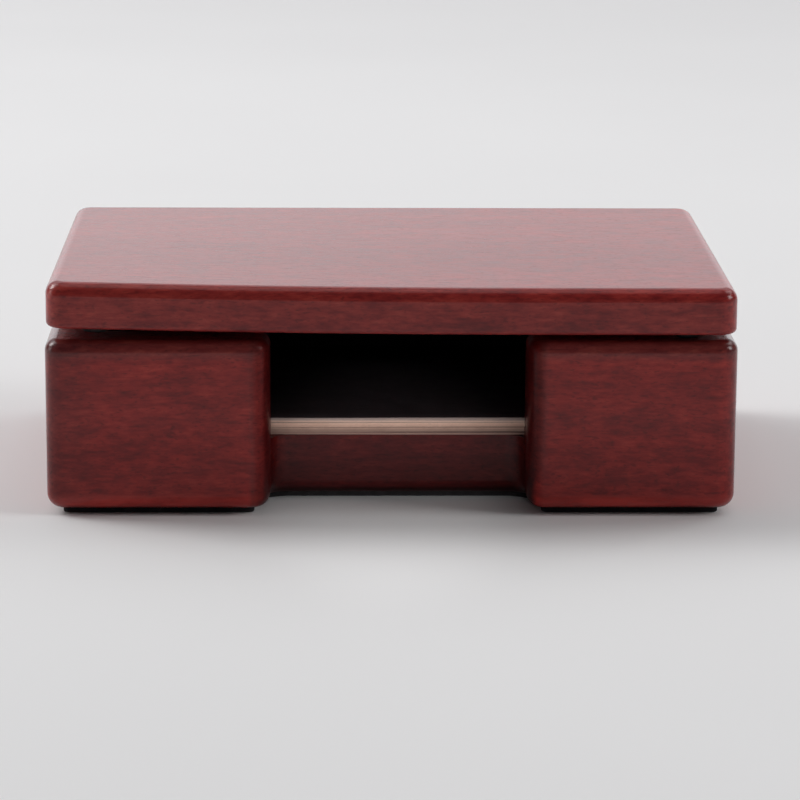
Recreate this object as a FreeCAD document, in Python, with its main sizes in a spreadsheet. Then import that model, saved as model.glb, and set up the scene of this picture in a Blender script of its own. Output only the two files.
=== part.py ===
import FreeCAD, Part
import Sketcher
import os

# Business card holder: a milled wooden block with a card well and a finger
# notch in its front wall, a flat board lid on two small stop hinges, black
# felt lining, a dark pad under the foot, two bumpers and seven plain cards.
#
# Frame: millimetres, +Z up, the front faces -Y, +X to the right.
# The origin is the centre of the block's footprint on the table surface.

doc = FreeCAD.newDocument("card_holder")

# ---------------------------------------------------------------- dimensions

sheet = doc.addObject("Spreadsheet::Sheet", "dims")

DIMENSIONS = [
    # block
    ("block_width", 110.0, "outside width along X"),
    ("block_depth", 76.0, "outside depth along Y"),
    ("pad_thickness", 1.0, "foot pad, lifts the wood off the table"),
    ("block_height", 27.55, "wood block alone"),
    ("plan_corner", 3.0, "radius of the outer vertical edges"),
    ("block_round", 1.9, "roundover of the block's upper edges"),
    ("foot_round", 2.3, "roundover along its foot"),
    # well for the cards
    ("well_side", 46.5, "half width of the well"),
    ("well_front", 30.0, "well front wall, distance in front of the origin"),
    ("well_back", 28.3, "well back wall, distance behind the origin"),
    ("well_corner", 2.2, "radius of the well's vertical corners"),
    ("floor_level", 10.9, "height of the well floor and of the rail's top"),
    ("felt_thickness", 0.6, "lining felt"),
    ("felt_front", 26.1, "front edge of the floor felt, in front of the origin"),
    ("felt_gap", 0.05, "room round the glued felts"),
    ("wall_felt_top", 28.25, "height of the upper edge of the wall felt"),
    # finger notch
    ("notch_left", 19.4, "left wall, distance left of the middle"),
    ("notch_right", 21.6, "right wall, distance right of the middle"),
    ("notch_depth", 10.4, "depth from the front face to the rail"),
    ("notch_cove", 3.0, "radius of the inner corners"),
    ("notch_nose", 3.3, "radius of the front vertical edges"),
    # foot pad
    ("pad_inset", 2.5, "set back from the wood's sides"),
    ("pad_corner", 0.9, "radius of its outer corners"),
    # lid
    ("lid_gap", 1.0, "gap between block and lid, two hinge leaves thick"),
    ("lid_thickness", 7.3, "board thickness"),
    ("lid_inset", 0.25, "the board is this much narrower on each side"),
    ("lid_bow", 1.05, "the board's front left corner stands up by this much"),
    ("bow_start", 28.0, "the front edge is straight to the right of here"),
    ("lid_round_top", 2.0, "roundover of the upper edges"),
    ("lid_round_low", 0.8, "roundover of the lower edges"),
    ("lining_side", 45.5, "half width of the felt under the lid"),
    ("lining_front", 29.0, "its front edge"),
    ("lining_back", 27.2, "its back edge"),
    ("lining_corner", 2.0, "its corner radius"),
    # bumpers
    ("bumper_radius", 2.5, "round bumper"),
    ("bumper_height", 0.95, "uncompressed height"),
    ("bumper_edge", 0.3, "bevel of its lower edge"),
    ("bumper_side", 47.0, "distance from the middle"),
    ("bumper_front", 33.6, "distance in front of the origin"),
    # hinges, each one drawn about its own pin axis
    ("hinge_side", 30.0, "distance of each hinge from the middle"),
    ("hinge_behind", 1.5, "pin axis behind the wood's back face"),
    ("hinge_length", 18.0, "length along the pin"),
    ("leaf_reach", 8.3, "front edge of the leaf, in front of the pin axis"),
    ("leaf_thickness", 0.45, "sheet thickness"),
    ("leaf_corner", 1.0, "corner radius of the leaf"),
    ("leaf_end", 0.95, "where the flat leaf runs into the knuckle"),
    ("knuckle_radius", 1.3, "outside of the barrel"),
    ("knuckle_side_gap", 0.06, "half of the end play between knuckles"),
    ("relief_radius", 1.45, "clearance cut for the other leaf's knuckles"),
    ("bore_fixed", 0.6, "pin hole in the base leaf"),
    ("bore_running", 0.64, "pin hole in the lid leaf"),
    ("pin_radius", 0.58, "hinge pin"),
    ("pin_head_radius", 0.95, "peened end of the pin"),
    ("pin_head_height", 0.3, "its thickness"),
    ("stop_angle", 95.0, "opening angle at which the stop flanges meet"),
    ("stop_root", 1.0, "inner end of the stop flange"),
    ("stop_reach", 3.3, "outer end of the stop flange"),
    ("stop_thickness", 0.5, "its thickness"),
    ("stop_play", 0.03, "set back of its face from the meeting plane"),
    # screws
    ("screw_spacing", 10.8, "between the two screws of a leaf"),
    ("screw_setback", 4.7, "screw axis in front of the pin axis"),
    ("screw_radius", 0.7, "shank"),
    ("screw_head_radius", 1.15, "countersunk head"),
    ("screw_head_depth", 0.45, "height of the cone"),
    ("screw_length", 5.2, "overall"),
    ("screw_tip", 0.9, "length of the point"),
    ("recess_width", 0.3, "cross recess, width of an arm"),
    ("recess_span", 1.3, "cross recess, across"),
    ("recess_depth", 0.3, "cross recess, depth"),
    ("leaf_hole", 0.75, "hole in the leaf"),
    ("countersink", 0.42, "bevel of that hole"),
    ("pilot_radius", 0.72, "hole in the wood"),
    ("pilot_depth", 5.4, "its depth"),
    # cards
    ("card_long", 90.0, "card width along X"),
    ("card_short", 54.0, "card depth along Y"),
    ("card_thickness", 0.38, "card stock"),
    ("card_pitch", 0.395, "from one card to the next"),
    ("card_front", 27.6, "front edge of a square-lying card"),
    ("card_rest", 0.02, "room under the lowest card"),
]

# each card lies a little off: shift to the right, shift to the back, turn
CARD_LIE = [
    (0.05, -0.02, -0.32),
    (-0.12, 0.10, 0.10),
    (0.10, 0.02, -0.06),
    (0.00, 0.14, 0.14),
    (-0.08, 0.00, 0.03),
    (0.15, 0.09, -0.12),
    (-0.03, 0.04, 0.08),
]

values = {}
row = 1


def put(name, value, note):
    global row
    sheet.set("A%d" % row, name)
    sheet.set("B%d" % row, repr(float(value)))
    sheet.set("C%d" % row, note)
    sheet.setAlias("B%d" % row, name)
    values[name] = float(value)
    row += 1


for item in DIMENSIONS:
    put(*item)
for number, (shift_x, shift_y, turn) in enumerate(CARD_LIE, 1):
    put("card_%d_right" % number, shift_x, "card %d, shift to the right" % number)
    put("card_%d_back" % number, shift_y, "card %d, shift to the back" % number)
    put("card_%d_turn" % number, turn, "card %d, turn in degrees" % number)
doc.recompute()

# levels and places made from the sheet's cells
BLOCK_TOP = "(dims.pad_thickness + dims.block_height)"
LID_LOW = "(dims.pad_thickness + dims.block_height + dims.lid_gap)"
FRONT = "(-dims.block_depth / 2)"
BACK = "(dims.block_depth / 2)"
SIDE = "(dims.block_width / 2)"
RAIL = "(-dims.block_depth / 2 + dims.notch_depth)"
LID_SIDE = "(dims.block_width / 2 - dims.lid_inset)"
PIN_Y = "(dims.block_depth / 2 + dims.hinge_behind)"
PIN_Z = "(dims.pad_thickness + dims.block_height + dims.lid_gap / 2)"

block_top = values["pad_thickness"] + values["block_height"]
lid_low = block_top + values["lid_gap"]
lid_top = lid_low + values["lid_thickness"]


# ------------------------------------------------------------ small helpers

def plane(body, role):
    for feature in body.Origin.OriginFeatures:
        if feature.Role == role:
            return feature
    raise RuntimeError("no plane " + role)


def new_body(name):
    body = doc.addObject("PartDesign::Body", name)
    body.Label = name
    return body


def new_sketch(body, name, role, lift=None, turn=None):
    sketch = body.newObject("Sketcher::SketchObject", name)
    sketch.AttachmentSupport = [(plane(body, role), "")]
    sketch.MapMode = "FlatFace"
    if lift is not None:
        sketch.setExpression("AttachmentOffset.Base.z", lift)
    if turn is not None:
        sketch.AttachmentOffset = FreeCAD.Placement(
            FreeCAD.Vector(0, 0, 0), FreeCAD.Rotation(FreeCAD.Vector(0, 0, 1), 1.0))
        sketch.setExpression("AttachmentOffset.Rotation.Angle", turn)
    return sketch


def datum(sketch, kind, geometry, point, name, text, value=1.0):
    """Tie one coordinate of a point to the sheet, measured from the origin."""
    if text == "0":
        axis = -2 if kind == "DistanceX" else -1
        sketch.addConstraint(Sketcher.Constraint("PointOnObject", geometry, point, axis))
        return
    index = sketch.addConstraint(
        Sketcher.Constraint(kind, -1, 1, geometry, point, value))
    sketch.renameConstraint(index, name)
    sketch.setExpression("Constraints." + name, text)


def rectangle(sketch, left, right, low, high, tag=""):
    """Four lines; the corners left/low and right/high are tied to the sheet."""
    first = sketch.GeometryCount
    corners = [(0, 0), (10, 0), (10, 10), (0, 10)]
    for i in range(4):
        a, b = corners[i], corners[(i + 1) % 4]
        sketch.addGeometry(Part.LineSegment(FreeCAD.Vector(a[0], a[1], 0),
                                            FreeCAD.Vector(b[0], b[1], 0)), False)
    for i in range(4):
        sketch.addConstraint(Sketcher.Constraint(
            "Coincident", first + i, 2, first + (i + 1) % 4, 1))
    sketch.addConstraint(Sketcher.Constraint("Horizontal", first))
    sketch.addConstraint(Sketcher.Constraint("Vertical", first + 1))
    sketch.addConstraint(Sketcher.Constraint("Horizontal", first + 2))
    sketch.addConstraint(Sketcher.Constraint("Vertical", first + 3))
    datum(sketch, "DistanceX", first, 1, "left" + tag, left)
    datum(sketch, "DistanceY", first, 1, "low" + tag, low)
    datum(sketch, "DistanceX", first + 1, 2, "right" + tag, right)
    datum(sketch, "DistanceY", first + 1, 2, "high" + tag, high)


def polygon(sketch, points):
    """A closed outline; every corner is tied to the sheet."""
    count = len(points)
    first = sketch.GeometryCount
    start = []
    for i in range(count):
        # a rough ring in the right order, which the ties then pull into place
        shape = FreeCAD.Rotation(FreeCAD.Vector(0, 0, 1), 360.0 * i / count)
        start.append(shape.multVec(FreeCAD.Vector(10, 0, 0)))
    for i in range(count):
        sketch.addGeometry(Part.LineSegment(start[i], start[(i + 1) % count]), False)
    for i in range(count):
        sketch.addConstraint(Sketcher.Constraint(
            "Coincident", first + i, 2, first + (i + 1) % count, 1))
    for i, (px, py) in enumerate(points):
        datum(sketch, "DistanceX", first + i, 1, "px%d" % i, px)
        datum(sketch, "DistanceY", first + i, 1, "py%d" % i, py)


def circle(sketch, px, py, radius, tag=""):
    index = sketch.addGeometry(Part.Circle(FreeCAD.Vector(1, 1, 0),
                                           FreeCAD.Vector(0, 0, 1), 1.0), False)
    if px == "0" and py == "0":
        sketch.addConstraint(Sketcher.Constraint("Coincident", index, 3, -1, 1))
    else:
        datum(sketch, "DistanceX", index, 3, "cx" + tag, px)
        datum(sketch, "DistanceY", index, 3, "cy" + tag, py)
    number = sketch.addConstraint(Sketcher.Constraint("Radius", index, 1.0))
    sketch.renameConstraint(number, "radius" + tag)
    sketch.setExpression("Constraints.radius" + tag, radius)


def pad(body, name, sketch, length):
    feature = body.newObject("PartDesign::Pad", name)
    feature.Profile = sketch
    feature.setExpression("Length", length)
    sketch.Visibility = False
    doc.recompute()
    return feature


def pocket(body, name, sketch, length):
    """Cut against the sketch's normal; it has to take something away."""
    before = body.Shape.Volume
    feature = body.newObject("PartDesign::Pocket", name)
    feature.Profile = sketch
    feature.setExpression("Length", length)
    sketch.Visibility = False
    doc.recompute()
    taken = before - body.Shape.Volume
    print("  %-28s takes %9.3f mm3" % (name, taken))
    if taken < 1e-4:
        raise RuntimeError(name + " cuts nothing")
    return feature


def pick(shape, test):
    """The names of the edges whose middle and ends satisfy the test."""
    names = []
    for index, edge in enumerate(shape.Edges, 1):
        first, last = edge.FirstParameter, edge.LastParameter
        points = [edge.valueAt(first + (last - first) * k / 4.0) for k in range(5)]
        if test(points):
            names.append("Edge%d" % index)
    return names


def dress(body, kind, name, base, test, size):
    """A fillet or chamfer on the edges that the test picks."""
    names = pick(base.Shape, test)
    if not names:
        raise RuntimeError(name + " finds no edge")
    feature = body.newObject(kind, name)
    feature.Base = (base, names)
    if kind == "PartDesign::Fillet":
        feature.setExpression("Radius", size)
    else:
        feature.setExpression("Size", size)
    doc.recompute()
    print("  %-28s %d edges, volume %.3f" % (name, len(names), body.Shape.Volume))
    return feature


def near(a, b, tolerance=0.02):
    return abs(a - b) < tolerance


def upright(points, places):
    """A vertical edge that stands at one of the places."""
    if abs(points[0].z - points[-1].z) < 0.05:
        return False
    for px, py in places:
        if all(near(p.x, px) and near(p.y, py) for p in points):
            return True
    return False


def level(points, height):
    return all(near(p.z, height) for p in points)


def lid_rise(px, py):
    """How far the bowed board stands above a flat one at this place."""
    along = max(0.0, (values["bow_start"] - px) / (values["bow_start"] + lid_side))
    return values["lid_bow"] * along ** 2 * (half_d - py) / (2 * half_d)


def follows(points, height):
    """An edge on one of the board's broad faces, not the line across it."""
    if all(near(p.x, values["bow_start"]) for p in points):
        return False
    return all(near(p.z, height + lid_rise(p.x, p.y)) for p in points)


def bowed_section(body, name, lift, low, high, bow):
    """One end of the board: straight to the right, a long arc to the left."""
    sketch = new_sketch(body, name, "XZ_Plane", lift)
    left, start = -lid_side, values["bow_start"]
    under, over = float(sketch.evalExpression(low)), float(sketch.evalExpression(high))
    flat = [(left, under), (start, under), (lid_side, under),
            (lid_side, over), (start, over), (left, over)]
    rise = values["lid_bow"] if bow else 0.0
    rises = [rise, 0, 0, 0, 0, rise]
    spots = [FreeCAD.Vector(px, py + extra, 0)
             for (px, py), extra in zip(flat, rises)]
    for i in range(6):
        a, b = spots[i], spots[(i + 1) % 6]
        if bow and i in (0, 4):
            edge, tip = (b, a) if i == 0 else (a, b)
            span = start - left
            radius = (span ** 2 + rise ** 2) / (2 * rise)
            half = 0.5 * span
            middle = FreeCAD.Vector(
                start - half,
                edge.y + radius - (radius ** 2 - half ** 2) ** 0.5, 0)
            sketch.addGeometry(Part.Arc(tip, middle, edge), False)
        else:
            sketch.addGeometry(Part.LineSegment(a, b), False)

    # the point numbers of each edge's ends; an arc may run the other way round
    ends = []
    for i in range(6):
        turned = (sketch.Geometry[i].StartPoint - spots[i]).Length > 1e-3
        ends.append((2, 1) if turned else (1, 2))
    for i in range(6):
        sketch.addConstraint(Sketcher.Constraint(
            "Coincident", i, ends[i][1], (i + 1) % 6, ends[(i + 1) % 6][0]))
    raised = " + dims.lid_bow" if bow else ""
    places = [("-" + LID_SIDE, low + raised), ("dims.bow_start", low),
              (LID_SIDE, low), (LID_SIDE, high), ("dims.bow_start", high),
              ("-" + LID_SIDE, high + raised)]
    for i, (px, py) in enumerate(places):
        datum(sketch, "DistanceX", i, ends[i][0], "px%d" % i, px, spots[i].x)
        datum(sketch, "DistanceY", i, ends[i][0], "py%d" % i, py, spots[i].y)
    if bow:
        datum(sketch, "DistanceX", 0, 3, "centre_low", "dims.bow_start", start)
        datum(sketch, "DistanceX", 4, 3, "centre_high", "dims.bow_start", start)
    return sketch


def bowed_board(body, kind, name, low, high):
    """The bowed slab between two levels, added to a body or cut from it."""
    front = bowed_section(body, name + "_front", "dims.block_depth / 2",
                          low, high, True)
    back = bowed_section(body, name + "_back", "-dims.block_depth / 2",
                         low, high, False)
    before = body.Shape.Volume if body.Shape.Solids else 0.0
    loft = body.newObject(kind, name)
    loft.Profile = back
    loft.Sections = [front]
    loft.Ruled = True
    front.Visibility = False
    back.Visibility = False
    doc.recompute()
    print("  %-28s changes %9.3f mm3" % (name, body.Shape.Volume - before))
    if abs(body.Shape.Volume - before) < 1e-3:
        raise RuntimeError(name + " changes nothing")
    return loft


# ------------------------------------------------------------------- block

half_w = values["block_width"] / 2
half_d = values["block_depth"] / 2
lid_side = half_w - values["lid_inset"]
rail_y = -half_d + values["notch_depth"]

block = new_body("base_block")
outline = new_sketch(block, "block_outline", "XY_Plane", "dims.pad_thickness")
rectangle(outline, "-" + SIDE, SIDE, FRONT, BACK)
blank = pad(block, "block_blank", outline, "dims.block_height")

corners = dress(block, "PartDesign::Fillet", "block_corners", blank,
                lambda p: upright(p, [(-half_w, -half_d), (half_w, -half_d),
                                      (-half_w, half_d), (half_w, half_d)]),
                "dims.plan_corner")

# the finger notch runs the full height of the block
notch_plan = new_sketch(block, "notch_plan", "XY_Plane", BLOCK_TOP)
rectangle(notch_plan, "-dims.notch_left", "dims.notch_right",
          FRONT + " - 5", RAIL)
notch = pocket(block, "notch", notch_plan, "dims.block_height + 5")

coves = dress(block, "PartDesign::Fillet", "notch_coves", notch,
              lambda p: upright(p, [(-values["notch_left"], rail_y),
                                    (values["notch_right"], rail_y)]),
              "dims.notch_cove")
noses = dress(block, "PartDesign::Fillet", "notch_noses", coves,
              lambda p: upright(p, [(-values["notch_left"], -half_d),
                                    (values["notch_right"], -half_d)]),
              "dims.notch_nose")

# the well opens into the notch above the rail
well_plan = new_sketch(block, "well_plan", "XY_Plane", BLOCK_TOP)
rectangle(well_plan, "-dims.well_side", "dims.well_side",
          "-dims.well_front", "dims.well_back")
well = pocket(block, "well", well_plan, BLOCK_TOP + " - dims.floor_level")

# a shallow bed, so that the floor felt ends flush with the rail's top
bed_plan = new_sketch(block, "felt_bed_plan", "XY_Plane", "dims.floor_level")
rectangle(bed_plan, "-dims.well_side", "dims.well_side",
          "-dims.felt_front", "dims.well_back")
bed = pocket(block, "felt_bed", bed_plan, "dims.felt_thickness")

well_corners = dress(
    block, "PartDesign::Fillet", "well_corners", bed,
    lambda p: upright(p, [(-values["well_side"], -values["well_front"]),
                          (values["well_side"], -values["well_front"]),
                          (-values["well_side"], values["well_back"]),
                          (values["well_side"], values["well_back"])]),
    "dims.well_corner")


def rim(points):
    """Upper outer edges and those of the notch, not the well's own mouth."""
    if not level(points, block_top):
        return False
    middle = points[2]
    inside = (abs(middle.x) < values["well_side"] + 0.01 and
              -values["well_front"] - 0.01 < middle.y < values["well_back"] + 0.01)
    return not inside


top_round = dress(block, "PartDesign::Fillet", "top_roundover", well_corners,
                  rim, "dims.block_round")
foot_round = dress(block, "PartDesign::Fillet", "foot_roundover", top_round,
                   lambda p: level(p, values["pad_thickness"]),
                   "dims.foot_round")

pilots_plan = new_sketch(block, "pilot_plan", "XY_Plane", BLOCK_TOP)
tags = ["a", "b", "c", "d"]
for tag, side, half in zip(tags, ("-", "-", "", ""), (" - ", " + ", " - ", " + ")):
    circle(pilots_plan, side + "dims.hinge_side" + half + "dims.screw_spacing / 2",
           PIN_Y + " - dims.screw_setback", "dims.pilot_radius", tag)
pocket(block, "screw_pilots", pilots_plan, "dims.pilot_depth")

# --------------------------------------------------------------- foot pad

foot = new_body("base_pad")
foot_plan = new_sketch(foot, "pad_plan", "XY_Plane")
INSET = "dims.pad_inset"
polygon(foot_plan, [
    ("-" + SIDE + " + " + INSET, FRONT + " + " + INSET),
    ("-dims.notch_left - " + INSET, FRONT + " + " + INSET),
    ("-dims.notch_left - " + INSET, RAIL + " + " + INSET),
    ("dims.notch_right + " + INSET, RAIL + " + " + INSET),
    ("dims.notch_right + " + INSET, FRONT + " + " + INSET),
    (SIDE + " - " + INSET, FRONT + " + " + INSET),
    (SIDE + " - " + INSET, BACK + " - " + INSET),
    ("-" + SIDE + " + " + INSET, BACK + " - " + INSET),
])
foot_pad = pad(foot, "pad_sheet", foot_plan, "dims.pad_thickness")
cove_places = [(-values["notch_left"] - values["pad_inset"], rail_y + values["pad_inset"]),
               (values["notch_right"] + values["pad_inset"], rail_y + values["pad_inset"])]
pad_coves = dress(foot, "PartDesign::Fillet", "pad_coves", foot_pad,
                  lambda p: upright(p, cove_places),
                  "dims.notch_cove + dims.pad_inset")
edge_x = half_w - values["pad_inset"]
edge_y = half_d - values["pad_inset"]
dress(foot, "PartDesign::Fillet", "pad_corners", pad_coves,
      lambda p: upright(p, [(-edge_x, -edge_y), (edge_x, -edge_y),
                            (-edge_x, edge_y), (edge_x, edge_y),
                            (-values["notch_left"] - values["pad_inset"], -edge_y),
                            (values["notch_right"] + values["pad_inset"], -edge_y)]),
      "dims.pad_corner")

# ------------------------------------------------------------ lining felts

floor_felt = new_body("well_floor_felt")
floor_plan = new_sketch(floor_felt, "floor_felt_plan", "XY_Plane",
                        "dims.floor_level - dims.felt_thickness")
rectangle(floor_plan, "-dims.well_side + dims.felt_gap", "dims.well_side - dims.felt_gap",
          "-dims.felt_front + dims.felt_gap", "dims.well_back - dims.felt_gap")
floor_sheet = pad(floor_felt, "floor_felt_sheet", floor_plan, "dims.felt_thickness")
in_x = values["well_side"] - values["felt_gap"]
in_back = values["well_back"] - values["felt_gap"]
in_front = values["well_front"] - values["felt_gap"]
dress(floor_felt, "PartDesign::Fillet", "floor_felt_corners", floor_sheet,
      lambda p: upright(p, [(-in_x, in_back), (in_x, in_back)]),
      "dims.well_corner")

# one strip round the walls, with its two ends at the notch
wall_felt = new_body("well_wall_felt")
wall_plan = new_sketch(wall_felt, "wall_felt_outside", "XY_Plane", "dims.floor_level")
rectangle(wall_plan, "-dims.well_side + dims.felt_gap", "dims.well_side - dims.felt_gap",
          "-dims.well_front + dims.felt_gap", "dims.well_back - dims.felt_gap")
wall_blank = pad(wall_felt, "wall_felt_blank", wall_plan,
                 "dims.wall_felt_top - dims.floor_level")
inner_plan = new_sketch(wall_felt, "wall_felt_inside", "XY_Plane", "dims.wall_felt_top")
rectangle(inner_plan,
          "-dims.well_side + dims.felt_gap + dims.felt_thickness",
          "dims.well_side - dims.felt_gap - dims.felt_thickness",
          "-dims.well_front + dims.felt_gap + dims.felt_thickness",
          "dims.well_back - dims.felt_gap - dims.felt_thickness")
inner_cut = pocket(wall_felt, "wall_felt_hollow", inner_plan,
                   "dims.wall_felt_top - dims.floor_level + 1")
inner_x = in_x - values["felt_thickness"]
inner_bends = dress(
    wall_felt, "PartDesign::Fillet", "wall_felt_inner_bends", inner_cut,
    lambda p: upright(p, [(-inner_x, -in_front + values["felt_thickness"]),
                          (inner_x, -in_front + values["felt_thickness"]),
                          (-inner_x, in_back - values["felt_thickness"]),
                          (inner_x, in_back - values["felt_thickness"])]),
    "dims.well_corner - dims.felt_thickness")
dress(
    wall_felt, "PartDesign::Fillet", "wall_felt_bends", inner_bends,
    lambda p: upright(p, [(-in_x, -in_front), (in_x, -in_front),
                          (-in_x, in_back), (in_x, in_back)]),
    "dims.well_corner")
gap_plan = new_sketch(wall_felt, "wall_felt_gap", "XY_Plane", "dims.wall_felt_top")
rectangle(gap_plan, "-dims.notch_left - 0.4", "dims.notch_right + 0.4",
          "-dims.well_front - 2", "-dims.well_front + 4")
pocket(wall_felt, "wall_felt_opening", gap_plan,
       "dims.wall_felt_top - dims.floor_level + 1")

# --------------------------------------------------------------------- lid

# the board is a little bowed: its front left corner stands up, and the bow
# fades out towards the hinges and towards the right
lid = new_body("lid_board")
lid_blank = bowed_board(lid, "PartDesign::AdditiveLoft", "lid_blank", LID_LOW,
                        LID_LOW + " + dims.lid_thickness")
lid_corners = dress(lid, "PartDesign::Fillet", "lid_corners", lid_blank,
                    lambda p: upright(p, [(-lid_side, -half_d), (lid_side, -half_d),
                                          (-lid_side, half_d), (lid_side, half_d)]),
                    "dims.plan_corner")
lid_upper = dress(lid, "PartDesign::Fillet", "lid_roundover", lid_corners,
                  lambda p: follows(p, lid_top), "dims.lid_round_top")
lid_lower = dress(lid, "PartDesign::Fillet", "lid_lower_edge", lid_upper,
                  lambda p: follows(p, lid_low), "dims.lid_round_low")

# the pilots are drawn above the board's underside by their own depth and cut
# downwards from there, so they end at the underside
lid_pilot_plan = new_sketch(lid, "lid_pilot_plan", "XY_Plane",
                            LID_LOW + " + dims.pilot_depth")
for tag, side, half in zip(tags, ("-", "-", "", ""), (" - ", " + ", " - ", " + ")):
    circle(lid_pilot_plan, side + "dims.hinge_side" + half + "dims.screw_spacing / 2",
           PIN_Y + " - dims.screw_setback", "dims.pilot_radius", tag)
pocket(lid, "lid_screw_pilots", lid_pilot_plan, "dims.pilot_depth + 1")

# the felt under the lid follows the bow on both of its faces
lining = new_body("lid_lining_felt")
lining_plan = new_sketch(lining, "lining_plan", "XY_Plane",
                         LID_LOW + " - dims.felt_thickness")
rectangle(lining_plan, "-dims.lining_side", "dims.lining_side",
          "-dims.lining_front", "dims.lining_back")
lining_sheet = pad(lining, "lining_sheet", lining_plan,
                   "dims.felt_thickness + dims.lid_bow")
dress(lining, "PartDesign::Fillet", "lining_corners", lining_sheet,
      lambda p: abs(p[0].z - p[-1].z) > 0.3 and near(p[0].x, p[-1].x) and
      near(p[0].y, p[-1].y), "dims.lining_corner")
bowed_board(lining, "PartDesign::SubtractiveLoft", "lining_top_face", LID_LOW,
            LID_LOW + " + dims.lid_thickness")
bowed_board(lining, "PartDesign::SubtractiveLoft", "lining_low_face",
            LID_LOW + " - dims.felt_thickness - 3",
            LID_LOW + " - dims.felt_thickness")

# round bumpers under the lid's front corners; the board's underside shapes
# their upper faces
BOW_THERE = ("dims.lid_bow * pow((dims.bow_start + dims.bumper_side) / "
             "(dims.bow_start + " + LID_SIDE + "); 2) * "
             "(dims.block_depth / 2 + dims.bumper_front) / dims.block_depth")
for name, side in (("lid_bumper_left", "-"), ("lid_bumper_right", "")):
    bumper = new_body(name)
    foot_level = LID_LOW + " - dims.bumper_height"
    low_face = lid_low - values["bumper_height"]
    if side:
        foot_level += " + " + BOW_THERE
        low_face += lid_rise(-values["bumper_side"], -values["bumper_front"])
    disc = new_sketch(bumper, name + "_plan", "XY_Plane", foot_level)
    circle(disc, side + "dims.bumper_side", "-dims.bumper_front",
           "dims.bumper_radius")
    puck = pad(bumper, name + "_puck", disc, "dims.bumper_height + 0.3")
    dress(bumper, "PartDesign::Chamfer", name + "_bevel", puck,
          lambda p: level(p, low_face), "dims.bumper_edge")
    bowed_board(bumper, "PartDesign::SubtractiveLoft", name + "_seat", LID_LOW,
                LID_LOW + " + dims.lid_thickness")

# ------------------------------------------------------------------- hinges

STEP = "dims.hinge_length / 5"
HALF = "dims.hinge_length / 2"
PLAY = "dims.knuckle_side_gap"


def hinge_leaf(name, upper, side):
    """A leaf about its own pin axis: X along the pin, -Y towards the front."""
    leaf = new_body(name)
    plate_plan = new_sketch(
        leaf, name + "_plate_plan", "XY_Plane",
        "dims.lid_gap / 2 - dims.leaf_thickness" if upper else "-dims.lid_gap / 2")
    rectangle(plate_plan, "-" + HALF, HALF, "-dims.leaf_reach", "-dims.leaf_end")
    plate = pad(leaf, name + "_plate", plate_plan, "dims.leaf_thickness")
    reach = values["leaf_reach"]
    half = values["hinge_length"] / 2
    dress(leaf, "PartDesign::Fillet", name + "_corners", plate,
          lambda p: upright_small(p, [(-half, -reach), (half, -reach)]),
          "dims.leaf_corner")

    barrel_plan = new_sketch(leaf, name + "_barrel_plan", "YZ_Plane", "-" + HALF)
    circle(barrel_plan, "0", "0", "dims.knuckle_radius", "out")
    circle(barrel_plan, "0", "0",
           "dims.bore_running" if upper else "dims.bore_fixed", "in")
    pad(leaf, name + "_barrel", barrel_plan, "dims.hinge_length")

    # the stop flange runs the whole length behind the barrel
    stop_plan = new_sketch(leaf, name + "_stop_plan", "YZ_Plane", "-" + HALF,
                           "dims.stop_angle / 2" if upper else "-dims.stop_angle / 2")
    if upper:
        rectangle(stop_plan, "dims.stop_root", "dims.stop_reach",
                  "dims.stop_play", "dims.stop_play + dims.stop_thickness")
    else:
        rectangle(stop_plan, "dims.stop_root", "dims.stop_reach",
                  "-dims.stop_play - dims.stop_thickness", "-dims.stop_play")
    pad(leaf, name + "_stop", stop_plan, "dims.hinge_length")

    # knuckles one, three and five belong to the base leaf, two and four to
    # the lid leaf: each leaf is cut back where the other's knuckles run
    if upper:
        cuts = [(HALF + " + 1", STEP + " + 1 + " + PLAY),
                (STEP + " / 2 + " + PLAY, STEP + " + 2 * " + PLAY),
                ("-" + HALF + " + " + STEP + " + " + PLAY, STEP + " + 1 + " + PLAY)]
    else:
        cuts = [(STEP + " * 1.5 + " + PLAY, STEP + " + 2 * " + PLAY),
                ("-" + STEP + " / 2 + " + PLAY, STEP + " + 2 * " + PLAY)]
    for number, (start, length) in enumerate(cuts, 1):
        cut_plan = new_sketch(leaf, "%s_relief_plan_%d" % (name, number),
                              "YZ_Plane", start)
        circle(cut_plan, "0", "0", "dims.relief_radius")
        pocket(leaf, "%s_relief_%d" % (name, number), cut_plan, length)

    # two countersunk holes, their wide side towards the other leaf
    face = "dims.lid_gap / 2 + 1" if upper else "-dims.lid_gap / 2 + dims.leaf_thickness + 0.2"
    hole_plan = new_sketch(leaf, name + "_hole_plan", "XY_Plane", face)
    circle(hole_plan, "-dims.screw_spacing / 2", "-dims.screw_setback",
           "dims.leaf_hole", "a")
    circle(hole_plan, "dims.screw_spacing / 2", "-dims.screw_setback",
           "dims.leaf_hole", "b")
    holes = pocket(leaf, name + "_holes", hole_plan, "2")
    inner = values["lid_gap"] / 2 - values["leaf_thickness"]
    if not upper:
        inner = -inner
    spacing = values["screw_spacing"] / 2
    setback = values["screw_setback"]

    def hole_mouth(points):
        if not level(points, inner):
            return False
        for sign in (-1, 1):
            far = [((p.x - sign * spacing) ** 2 + (p.y + setback) ** 2) ** 0.5
                   for p in points]
            if all(near(f, values["leaf_hole"]) for f in far):
                return True
        return False

    dress(leaf, "PartDesign::Chamfer", name + "_countersinks", holes,
          hole_mouth, "dims.countersink")
    leaf.setExpression("Placement.Base.x", side + "dims.hinge_side")
    leaf.setExpression("Placement.Base.y", PIN_Y)
    leaf.setExpression("Placement.Base.z", PIN_Z)
    return leaf


def upright_small(points, places):
    """The same test as upright, for the thin leaf."""
    if abs(points[0].z - points[-1].z) < 0.2:
        return False
    for px, py in places:
        if all(near(p.x, px) and near(p.y, py) for p in points):
            return True
    return False


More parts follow.
